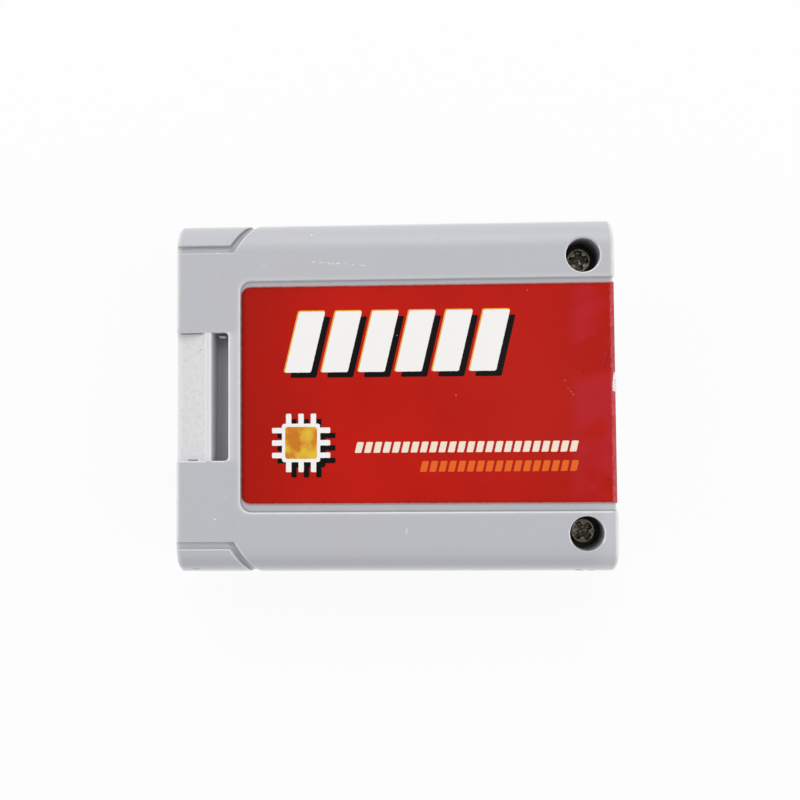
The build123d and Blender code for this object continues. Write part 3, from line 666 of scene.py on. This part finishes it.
def makeLabelPrint(look):
    material, tree, shader, place = newFinish("labelPrint")
    step = stepper(tree, look)
    x, z = axes(tree, place)[::2]
    colour = placeGroup(tree, toneDrift, place, {
        **look["drift"], "Colour": look["red"], "Drift To": look["deepRed"]})[0]
    colour = blendColour(tree, step(x, "leftShade"), colour, look["deepRed"])
    colour = blendColour(tree, step(x, "rightShade"), colour, look["deepRed"])
    sheen = product(tree, step(x, "sheenAlong"), patches(tree, place, look["sheenPatches"]))
    colour = blendColour(tree, sheen, colour, look["sheenRed"])

    wobble = addNode(tree, "TexNoise", {"Vector": place, "Scale": look["jitterPerMillimetre"]})
    wobble = vectorCalc(tree, "SUBTRACT", wobble.outputs["Color"], (0.5, 0.5, 0.5))
    wobble = scaled(tree, wobble, look["edgeJitter"])
    ink = vectorCalc(tree, "ADD", place, wobble)  # print edges waver a little on the paper
    lean = look["lean"]
    chipShadow = chipPicture(tree, ink, look, look["shadowShift"])[0]
    chipWhite, chipCore = chipPicture(tree, ink, look)
    layers = [
        (printRow(tree, ink, look["blocks"], look["fringeShift"], look["fringeGrow"], lean), look["fringe"]),
        (printRow(tree, ink, look["blocks"], look["shadowShift"], lean=lean), look["black"]),
        (printRow(tree, ink, look["blocks"], lean=lean), look["white"]),
        (chipShadow, look["black"]),
        (chipWhite, look["white"]),
    ]
    marble = patches(tree, place, look["marblePatches"])
    layers.append((chipCore, blendColour(tree, marble, look["gold"], look["goldShade"])))
    for shade, first, count in look["ticks"]:
        row = dict(look["tick"], First=first, Count=count)
        layers.append((printRow(tree, ink, row, lean=lean), look[shade]))
    for mask, shade in layers:
        colour = blendColour(tree, mask, colour, shade)

    specks = product(tree, strokes(tree, place, look["darkSpecks"]), look["darkSpeckAmount"])
    colour = blendColour(tree, specks, colour, look["black"])
    creases = product(tree, strokes(tree, place, look["creases"]), look["creaseAmount"])
    colour = blendColour(tree, creases, colour, look["creaseRed"])
    crumble = noiseAt(tree, place, *look["crumbleNoise"])
    uneven = calc(tree, "SUBTRACT", crumble, 0.5)
    outline = placeGroup(tree, printBlocks, place, look["outline"])["Distance"]
    onFront = step(z, "frontHeight")
    leftSide = step(x, "leftSide")
    # darker red along the label's edges, more on the left side
    darkerEdge = highest(tree, step(outline, "darkerEdge"), product(tree, leftSide, step(outline, "darkerEdgeLeft")))
    colour = blendColour(tree, product(tree, darkerEdge, onFront), colour, look["edgeRed"])
    frayed = calc(tree, "MULTIPLY_ADD", uneven, look["frayRagged"], outline)
    frayed = calc(tree, "MULTIPLY_ADD", leftSide, look["frayLeft"], frayed)
    frayed = product(tree, step(frayed, "frayReach"), onFront, look["frayAmount"])
    colour = blendColour(tree, frayed, colour, look["edgePink"])
    # worn ink along the fold, with painted highlight where the label bends over
    ragged = calc(tree, "MULTIPLY_ADD", uneven, look["foldRagged"], x)
    wornAndHighlit = product(tree, step(ragged, "foldAlong"), step(z, "foldHeight"), step(crumble, "foldPatches"))
    colour = blendColour(tree, wornAndHighlit, colour, look["wornInkAndHighlight"])
    bend = product(tree, step(z, "bendTop"), step(z, "bendFoot"),
                   patches(tree, place, look["bendPatches"]))
    colour = blendColour(tree, bend, colour, look["bendRed"])
    upright = calc(tree, "ABSOLUTE", facing(tree)[2])
    cutEdge = product(tree, step(upright, "cutFacing"), step(z, "cutHeight"), look["cutAmount"])
    wavering = vectorCalc(tree, "ADD", place, scaled(tree, wobble, look["tearJitter"]))
    torn = placeGroup(tree, brokenStroke, wavering, look["tear"])[0]
    torn = product(tree, step(torn, "tearInside"), step(z, "tearHeight"))
    flecks = placeGroup(tree, scatteredSpecks, place, look["flecks"])[0]
    scratches = product(tree, strokes(tree, place, look["scratches"]), look["scratchAmount"])
    bare = highest(tree, torn, product(tree, flecks, look["fleckAmount"]), scratches, cutEdge)
    colour = blendColour(tree, bare, colour, look["paper"])

    film = placeGroup(tree, mouldGrain, place, look["film"])
    waves = product(tree, noiseAt(tree, place, *look["waveNoise"]), look["waveHeight"])
    dents = product(tree, calc(tree, "ADD", bare, creases), look["dentDepth"])
    height = calc(tree, "ADD", waves, calc(tree, "SUBTRACT", film["Height"], dents))
    roughness = calc(tree, "MULTIPLY_ADD", bare, look["bareDull"], film["Roughness"])
    shader.inputs["Specular IOR Level"].default_value = look["specular"]
    wireShader(tree, shader, colour, roughness, bumpFrom(tree, height, look["reliefDepth"]))
    return material


dress(makeLabelPrint(labelLook), "front_label")
print("label print done")


# torn flake of label paper at the fold, and lint caught in the latch pocket

fibreLook = {
    "skin": {"Gloss": 0.8, "Spread": 0.2},
    "patchDetail": (4.0, 0.7),
    "patches": (0.42, 0.66),
    "depth": 0.02,
}
flakeLook = {
    "top": 2.75,
    "length": 2.4,
    "rows": 30,
    "root": 30.30,
    "rootHeight": 15.715,
    "rootSlant": 0.18,
    "narrowing": 0.15,
    "thickness": 0.05,
    "ragged": ((0.05, 2.3, 0.0), (0.04, 5.1, 1.0)),  # size, rate and start of each wave
    "tooth": 0.6,
    "toothWaves": ((0.25, 1.15, 0.4), (0.25, 2.9, 0.0)),
    "topReach": 0.05,
    "addedReach": 0.42,
    "reachPower": 1.3,
    "profile": (  # outwards, upwards, then shares of the reach, the raggedness and the tooth
        (0.0, 0.0, 0.0, 0.0, 0.0),
        (0.22, -0.02, 0.0, 1 / 3, 0.0),
        (0.30, -0.10, 0.5, 0.0, 0.0),
        (0.34, -0.10, 1.0, 0.0, -0.25),
    ),
    "grain": 3.0,
    "paper": (0.92, 0.90, 0.87, 1),
    "stained": (0.80, 0.58, 0.54, 1),
}
lintLook = {
    "fibre": 0.055,
    "strands": 11,
    "knots": 5,
    "smoothness": 3,
    "centre": (-24.62, 8.60, 14.25),
    "spread": (0.48, 0.17, 0.60),
    "turnRate": 1.1,
    "turnGrowth": 0.13,
    "turnStart": 2.4,
    "swayRates": (1.7, 1.3),
    "swayStart": 1.9,
    "grain": 6.0,
    "white": (0.97, 0.97, 0.96, 1),
    "dusty": (0.88, 0.87, 0.85, 1),
}


def makeFibre(name, pale, dull, grain, look):
    material, tree, shader, place = newFinish(name)
    fuzz = placeGroup(tree, mouldGrain, place, dict(look["skin"], Grain=grain))
    patch = rise(tree, noiseAt(tree, place, grain / 2, *look["patchDetail"]), *look["patches"])
    wireShader(tree, shader, blendColour(tree, patch, pale, dull), fuzz["Roughness"],
               bumpFrom(tree, fuzz["Height"], look["depth"]))
    return material


def waved(waves, row):
    return sum(size * math.sin(row * rate + start) for size, rate, start in waves)


def makeFlake(look):  # a sliver that widens downwards and curls away from the fold
    points = []
    foot = look["top"] - look["length"]
    width = len(look["profile"])
    for row in range(look["rows"] + 1):
        share = row / look["rows"]
        along = look["top"] - look["length"] * share
        ragged = waved(look["ragged"], row)
        tooth = look["tooth"] + waved(look["toothWaves"], row)
        reach = look["topReach"] + look["addedReach"] * share ** look["reachPower"]
        reach = reach * tooth + ragged * share
        root = look["root"] + look["rootSlant"] * (1 - share) - ragged / 2
        for column, (out, up, reachShare, raggedShare, toothShare) in enumerate(look["profile"]):
            x = root + out + reach * reachShare
            y = foot + (along - foot) * (1 - look["narrowing"] * column)  # narrows to its lower corner
            points.append((x, y, look["rootHeight"] + up + ragged * raggedShare + tooth * toothShare))
    starts = [width * row + step for row in range(look["rows"]) for step in range(width - 1)]
    faces = [(start, start + 1, start + width + 1, start + width) for start in starts]
    mesh = bpy.data.meshes.new("label_fray")
    mesh.from_pydata([Vector(point) * millimetre for point in points], [], faces)
    flake = bpy.data.objects.new("label_fray", mesh)
    bpy.context.scene.collection.objects.link(flake)
    solid = flake.modifiers.new("paperThickness", "SOLIDIFY")
    solid.thickness = look["thickness"] * millimetre
    solid.offset = 1.0
    mesh.materials.append(makeFibre("tornPaper", look["paper"], look["stained"], look["grain"], fibreLook))
    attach(flake, "root")


def makeLint(look):
    curve = bpy.data.curves.new("pocket_lint", "CURVE")
    curve.dimensions = "3D"
    curve.bevel_depth = look["fibre"] * millimetre
    curve.bevel_resolution = look["smoothness"]
    curve.use_fill_caps = True
    centre, spread = Vector(look["centre"]), look["spread"]
    rateY, rateZ = look["swayRates"]
    for strand in range(look["strands"]):  # each fibre wanders through the tuft on its own path
        spline = curve.splines.new("NURBS")
        spline.points.add(look["knots"] - 1)
        for knot, point in enumerate(spline.points):
            turn = knot * (look["turnRate"] + look["turnGrowth"] * strand) + strand * look["turnStart"]
            sway = (math.sin(turn), math.sin(turn * rateY + strand),
                    math.cos(turn * rateZ + strand * look["swayStart"]))
            place = centre + Vector(amount * way for amount, way in zip(spread, sway))
            point.co = (*(place * millimetre), 1.0)
        spline.order_u = look["smoothness"]
        spline.use_endpoint_u = True
    lint = bpy.data.objects.new("pocket_lint", curve)
    bpy.context.scene.collection.objects.link(lint)
    curve.materials.append(makeFibre("lintFibre", look["white"], look["dusty"], look["grain"], fibreLook))
    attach(lint, "root")


makeFlake(flakeLook)
makeLint(lintLook)
print("torn flake and lint done")


# dark steel screws

screwLook = {
    "oxide": (0.28, 0.245, 0.180, 1),
    # bare metal, also the colour of the painted glints and highlights
    "bare": (0.95, 0.91, 0.80, 1),
    # painted shade inside the cross recess
    "recessDark": (0.072, 0.064, 0.040, 1),
    "turns": (((26.5, 19.38, 0.0), 4.0), ((26.5, -19.38, 0.0), 41.0)),  # middle and turn of each cross
    "slots": (
        {"Half Size": (1.4, 0.525, 0.0), "Corner": 0.3},
        {"Half Size": (0.525, 1.4, 0.0), "Corner": 0.3},
    ),
    "steel": {"Stretch": (1.0, 1.0, 1.0), "Gloss": 0.36, "Spread": 0.3},
    "grainDepth": 0.03,
    "edgePlace": 0.06,
    "edgeWidth": (0.13, 0.03),
    "edgeHeight": (11.65, 11.85),
    "notchRadius": (1.25, 1.0),
    "arcRadius": (1.3, 1.45),
    "arcPatches": ((1.1, 3.0, 0.6), (0.48, 0.56)),
    "wearPatches": ((2.4, 5.0, 0.7), (0.50, 0.72, 0.0, 0.7)),
    "sunkInside": (0.02, -0.08),
    "sunkHeight": (11.95, 11.70),
    "sunkAmount": 0.9,
    "glintPatches": ((2.6, 4.0, 0.7), (0.54, 0.62)),
    "glintRadius": (0.9, 0.4, 0.5, 1.0),
    "wornGloss": -0.24,
    "glintDull": 0.5,
}


def makeScrewSteel(look):
    material, tree, shader, place = newFinish("screwSteel")
    step = stepper(tree, look)
    metal = placeGroup(tree, brushedMetal, place, look["steel"])
    cross = radius = farAway
    for centre, turn in look["turns"]:
        flat = vectorCalc(tree, "MULTIPLY", vectorCalc(tree, "SUBTRACT", place, centre), (1, 1, 0))
        radius = calc(tree, "MINIMUM", radius, vectorCalc(tree, "LENGTH", flat))
        turned = {"Vector": place, "Center": centre, "Angle": -math.radians(turn)}
        turned = addNode(tree, "VectorRotate", turned, rotation_type="Z_AXIS").outputs[0]
        for slot in look["slots"]:
            slotEdge = placeGroup(tree, printBlocks, turned, dict(slot, First=centre))["Distance"]
            cross = calc(tree, "MINIMUM", cross, slotEdge)
    height = axes(tree, place)[2]
    arcs = product(tree, step(radius, "arcRadius"), patches(tree, place, look["arcPatches"]))
    notches = highest(tree, step(radius, "notchRadius"), arcs)  # painted highlights between the arms and in arcs round them
    edge = step(apart(tree, cross, look["edgePlace"]), "edgeWidth")
    edge = product(tree, edge, step(height, "edgeHeight"), notches)
    # worn bare patches, and the painted highlights at the edges
    wornAndHighlit = highest(tree, edge, patches(tree, place, look["wearPatches"]))
    colour = blendColour(tree, wornAndHighlit, look["oxide"], look["bare"])
    # painted shade inside the cross recess, with painted glints
    sunk = product(tree, step(cross, "sunkInside"), step(height, "sunkHeight"))
    glints = patches(tree, place, look["glintPatches"])
    glints = product(tree, glints, step(radius, "glintRadius"))
    recess = blendColour(tree, glints, look["recessDark"], look["bare"])
    colour = blendColour(tree, product(tree, sunk, look["sunkAmount"]), colour, recess)
    paintedGlints = highest(tree, edge, product(tree, sunk, glints))  # painted glints, made less metallic so they show bright
    metallic = calc(tree, "SUBTRACT", 1.0, product(tree, paintedGlints, look["glintDull"]))
    feed(tree, shader.inputs["Metallic"], metallic)
    bright = highest(tree, wornAndHighlit, paintedGlints)
    roughness = calc(tree, "MULTIPLY_ADD", bright, look["wornGloss"], metal["Roughness"])
    wireShader(tree, shader, colour, roughness, bumpFrom(tree, metal["Height"], look["grainDepth"]))
    return material


dress(makeScrewSteel(screwLook), "case_screws")
print("screws done")


# circuit board and its gold edge contacts

boardLook = {
    "mask": (0.012, 0.105, 0.040, 1),
    "track": (0.030, 0.190, 0.070, 1),
    "edgeGlass": (0.36, 0.33, 0.16, 1),
    "edgeFacing": (0.6, 0.3),
    "trackPitch": 2.5,
    "rowOffset": 51.25,
    "columnOffset": 50.0,
    "turnNoise": (0.09, 0.0),
    "trackEdge": (0.39, 0.31),
    "tongueEnd": -19.0,
    "trackStart": -26.0,
    "trackRelief": 3.0,
    "skin": {"Grain": 2.5, "Gloss": 0.3, "Spread": 0.15},
    "grainDepth": 0.01,
}
contactLook = {
    "colour": (0.93, 0.68, 0.28, 1),
    "aged": (0.82, 0.58, 0.25, 1),
    "drawn": {"Stretch": (0.25, 4.0, 1.0), "Gloss": 0.24, "Spread": 0.25},
    "depth": 0.004,
}


def makeBoardLaminate(look):
    material, tree, shader, place = newFinish("boardLaminate")
    step = stepper(tree, look)
    x, y = axes(tree, place)[:2]
    half = look["trackPitch"] / 2
    rows = calc(tree, "PINGPONG", calc(tree, "ADD", y, look["rowOffset"]), half)
    columns = calc(tree, "PINGPONG", calc(tree, "ADD", x, look["columnOffset"]), half)
    turn = calc(tree, "GREATER_THAN", noiseAt(tree, place, *look["turnNoise"]), 0.5)
    turn = product(tree, turn, calc(tree, "GREATER_THAN", x, look["tongueEnd"]))
    lines = product(tree, rows, calc(tree, "SUBTRACT", 1.0, turn))
    lines = calc(tree, "ADD", lines, product(tree, columns, turn))
    track = product(tree, step(lines, "trackEdge"), calc(tree, "GREATER_THAN", x, look["trackStart"]))
    colour = blendColour(tree, track, look["mask"], look["track"])
    faces = calc(tree, "ABSOLUTE", facing(tree)[2])
    colour = blendColour(tree, step(faces, "edgeFacing"), colour, look["edgeGlass"])
    grain = placeGroup(tree, mouldGrain, place, look["skin"])
    height = calc(tree, "MULTIPLY_ADD", track, look["trackRelief"], grain["Height"])
    wireShader(tree, shader, colour, grain["Roughness"], bumpFrom(tree, height, look["grainDepth"]))
    return material


def makeMetal(name, look):
    material, tree, shader, place = newFinish(name)
    metal = placeGroup(tree, brushedMetal, place, look["drawn"])
    colour = blendColour(tree, metal["Tone"], look["colour"], look["aged"])
    shader.inputs["Metallic"].default_value = 1.0
    wireShader(tree, shader, colour, metal["Roughness"], bumpFrom(tree, metal["Height"], look["depth"]))
    return material


dress(makeBoardLaminate(boardLook), "circuit_board")
dress(makeMetal("contactGold", contactLook), "front_contacts", "rear_contacts")
print("board and contacts done")


# parts soldered to the board

metalLooks = {
    "leadTin": {
        "colour": (0.66, 0.66, 0.63, 1), "aged": (0.50, 0.50, 0.47, 1), "depth": 0.006,
        "drawn": {"Stretch": (1.0, 1.0, 1.0), "Gloss": 0.34, "Spread": 0.2},
    },
    "tabNickel": {
        "colour": (0.66, 0.62, 0.55, 1), "aged": (0.54, 0.50, 0.43, 1), "depth": 0.005,
        "drawn": {"Stretch": (0.3, 3.0, 1.0), "Gloss": 0.28, "Spread": 0.2},
    },
    "solderJoint": {
        "colour": (0.72, 0.72, 0.70, 1), "aged": (0.56, 0.56, 0.54, 1), "depth": 0.02,
        "drawn": {"Stretch": (0.6, 0.6, 0.6), "Gloss": 0.2, "Spread": 0.15},
    },
}
mouldedLooks = {
    "chipMoulding": {
        "colour": (0.020, 0.020, 0.022, 1), "aged": (0.032, 0.031, 0.030, 1), "depth": 0.012,
        "skin": {"Grain": 7.0, "Gloss": 0.55, "Spread": 0.2},
    },
    "resistorBlack": {
        "colour": (0.016, 0.016, 0.018, 1), "aged": (0.026, 0.025, 0.024, 1), "depth": 0.005,
        "skin": {"Grain": 5.0, "Gloss": 0.3, "Spread": 0.2},
    },
    "capacitorTan": {
        "colour": (0.43, 0.29, 0.16, 1), "aged": (0.36, 0.23, 0.12, 1), "depth": 0.006,
        "skin": {"Grain": 6.0, "Gloss": 0.42, "Spread": 0.2},
    },
}
mouldedDrift = {"Size": 0.5, "Amount": 0.9}
cellLook = {
    "steel": (0.62, 0.62, 0.61, 1),
    "darkened": (0.50, 0.49, 0.47, 1),
    "centre": (9.125, -10.0, 0.0),
    "ringNoise": (6.0, 3.0, 0.6),
    "ringDepth": 0.004,
    "handledPatches": ((0.35, 5.0, 0.65), (0.42, 0.7)),
    "handledDull": 0.15,
    "gloss": 0.26,
}


def makeMoulded(name, look):
    material, tree, shader, place = newFinish(name)
    grain = placeGroup(tree, mouldGrain, place, look["skin"])
    colour = placeGroup(tree, toneDrift, place, {
        **mouldedDrift, "Colour": look["colour"], "Drift To": look["aged"]})[0]
    wireShader(tree, shader, colour, grain["Roughness"], bumpFrom(tree, grain["Height"], look["depth"]))
    return material


def makeCellSteel(look):  # can turned on its axis, with faint rings and handling marks
    material, tree, shader, place = newFinish("cellSteel")
    x, y, z = axes(tree, vectorCalc(tree, "SUBTRACT", place, look["centre"]))
    radius = vectorCalc(tree, "LENGTH", joined(tree, x, y))
    rings = noiseAt(tree, joined(tree, radius, 0.0, z), *look["ringNoise"])
    darkened = patches(tree, place, look["handledPatches"])
    shader.inputs["Metallic"].default_value = 1.0
    roughness = calc(tree, "MULTIPLY_ADD", darkened, look["handledDull"], look["gloss"])
    wireShader(tree, shader, blendColour(tree, darkened, look["steel"], look["darkened"]), roughness,
               bumpFrom(tree, rings, look["ringDepth"]))
    return material


metals = {name: makeMetal(name, look) for name, look in metalLooks.items()}
moulded = {name: makeMoulded(name, look) for name, look in mouldedLooks.items()}
dress(metals["leadTin"], "memory_chip_leads", "supervisor_chip_leads", "isolation_diode_leads",
      "chip_terminals")
dress(metals["tabNickel"], "cell_positive_tab", "cell_negative_tab")
dress(metals["solderJoint"], "tab_solder_joints")
dress(moulded["chipMoulding"], "memory_chip", "supervisor_chip", "isolation_diode")
dress(moulded["resistorBlack"], "chip_resistors")
dress(moulded["capacitorTan"], "chip_capacitors")
dress(makeCellSteel(cellLook), "coin_cell")
print("soldered parts done")


# white floor, soft light and the camera, in metres

white = (1, 1, 1, 1)
studio = {
    "floorSize": 3.0,
    "floorGap": 0.00002,
    "floorWhite": (0.92, 0.92, 0.92, 1),
    "floorGlow": 0.90,
    "floorBounce": 0.3,
    "bounceLevel": 1.3,
    "horizon": 1.0,
    "zenith": 0.2,
    "zenithPower": 2.0,
    "lampDistance": 0.7,
    "lamps": (  # name, direction, size, level
        ("topLamp", (0.0, 0.72, 0.70), 0.42, 0.23),
        ("leftLamp", (-0.90, 0.05, 0.43), 0.40, 0.085),
        ("rightLamp", (0.87, -0.22, 0.43), 0.40, 0.085),
        ("overheadLamp", (0.155, 0.04, 0.987), 0.07, 0.007),
    ),
}
cameraLook = {
    "place": (0.0057305, -0.0060127),
    "aboveFront": 0.12562,
    "tilt": (0.0422, 0.0395, -0.0089),
    "lens": 40.5,
    "sensor": 36.0,
    "nearest": 0.01,
    "farthest": 10.0,
}


def makeFloor(look):
    half = look["floorSize"] / 2
    mesh = bpy.data.meshes.new("floor")
    corners = [(-half, -half, 0), (half, -half, 0), (half, half, 0), (-half, half, 0)]
    mesh.from_pydata(corners, [], [(0, 1, 2, 3)])
    floor = bpy.data.objects.new("floor", mesh)
    floor.location.z = cadLow.z - look["floorGap"]
    bpy.context.scene.collection.objects.link(floor)
    material = bpy.data.materials.new("floorPaper")
    material.use_nodes = True
    tree = material.node_tree
    tree.nodes.remove(tree.nodes["Principled BSDF"])
    matt = addNode(tree, "BsdfDiffuse", {"Color": look["floorWhite"]}).outputs[0]
    glow = addNode(tree, "Emission", {"Color": white, "Strength": 1.0}).outputs[0]
    lifted = addNode(tree, "MixShader", {0: look["floorGlow"], 1: matt, 2: glow}).outputs[0]
    lit = addNode(tree, "Emission", {"Color": white, "Strength": look["bounceLevel"]}).outputs[0]
    bounced = addNode(tree, "MixShader", {0: look["floorBounce"], 1: matt, 2: lit}).outputs[0]
    path = addNode(tree, "LightPath").outputs
    seen = highest(tree, path["Is Camera Ray"], path["Is Glossy Ray"], path["Is Transmission Ray"])
    surface = addNode(tree, "MixShader", {0: seen, 1: bounced, 2: lifted}).outputs[0]
    tree.links.new(surface, tree.nodes["Material Output"].inputs["Surface"])
    mesh.materials.append(material)


def makeWorld(look):  # bright all round, dimmer overhead
    world = bpy.data.worlds.new("studioWorld")
    world.use_nodes = True
    tree = world.node_tree
    height = axes(tree, addNode(tree, "TexCoord").outputs["Generated"])[2]
    upward = calc(tree, "POWER", calc(tree, "MAXIMUM", height, 0.0), look["zenithPower"])
    level = calc(tree, "MULTIPLY_ADD", upward, look["zenith"] - look["horizon"], look["horizon"])
    tree.links.new(level, tree.nodes["Background"].inputs["Strength"])
    tree.nodes["Background"].inputs["Color"].default_value = white
    bpy.context.scene.world = world


def makeLamps(look, aim):
    distance = look["lampDistance"]
    for name, towards, size, level in look["lamps"]:
        direction = Vector(towards).normalized()
        light = bpy.data.lights.new(name, "AREA")
        light.size = size
        light.energy = level * math.pi ** 2 * distance ** 2 / direction.z
        holder = bpy.data.objects.new(name, light)
        holder.location = aim + direction * distance
        holder.rotation_euler = direction.to_track_quat("Z", "Y").to_euler()
        bpy.context.scene.collection.objects.link(holder)


def makeCamera(look):
    data = bpy.data.cameras.new("photoCamera")
    data.lens = look["lens"]
    data.sensor_width = look["sensor"]
    data.clip_start = look["nearest"]
    data.clip_end = look["farthest"]
    camera = bpy.data.objects.new("photoCamera", data)
    camera.location = (*look["place"], cadHigh.z + look["aboveFront"])
    camera.rotation_mode = "ZYX"
    camera.rotation_euler = Euler(look["tilt"], "ZYX")
    bpy.context.scene.collection.objects.link(camera)
    bpy.context.scene.camera = camera


makeFloor(studio)
makeWorld(studio)
makeLamps(studio, (cadLow + cadHigh) / 2)
makeCamera(cameraLook)
bpy.context.scene.view_settings.view_transform = "Standard"
print("studio and camera done")
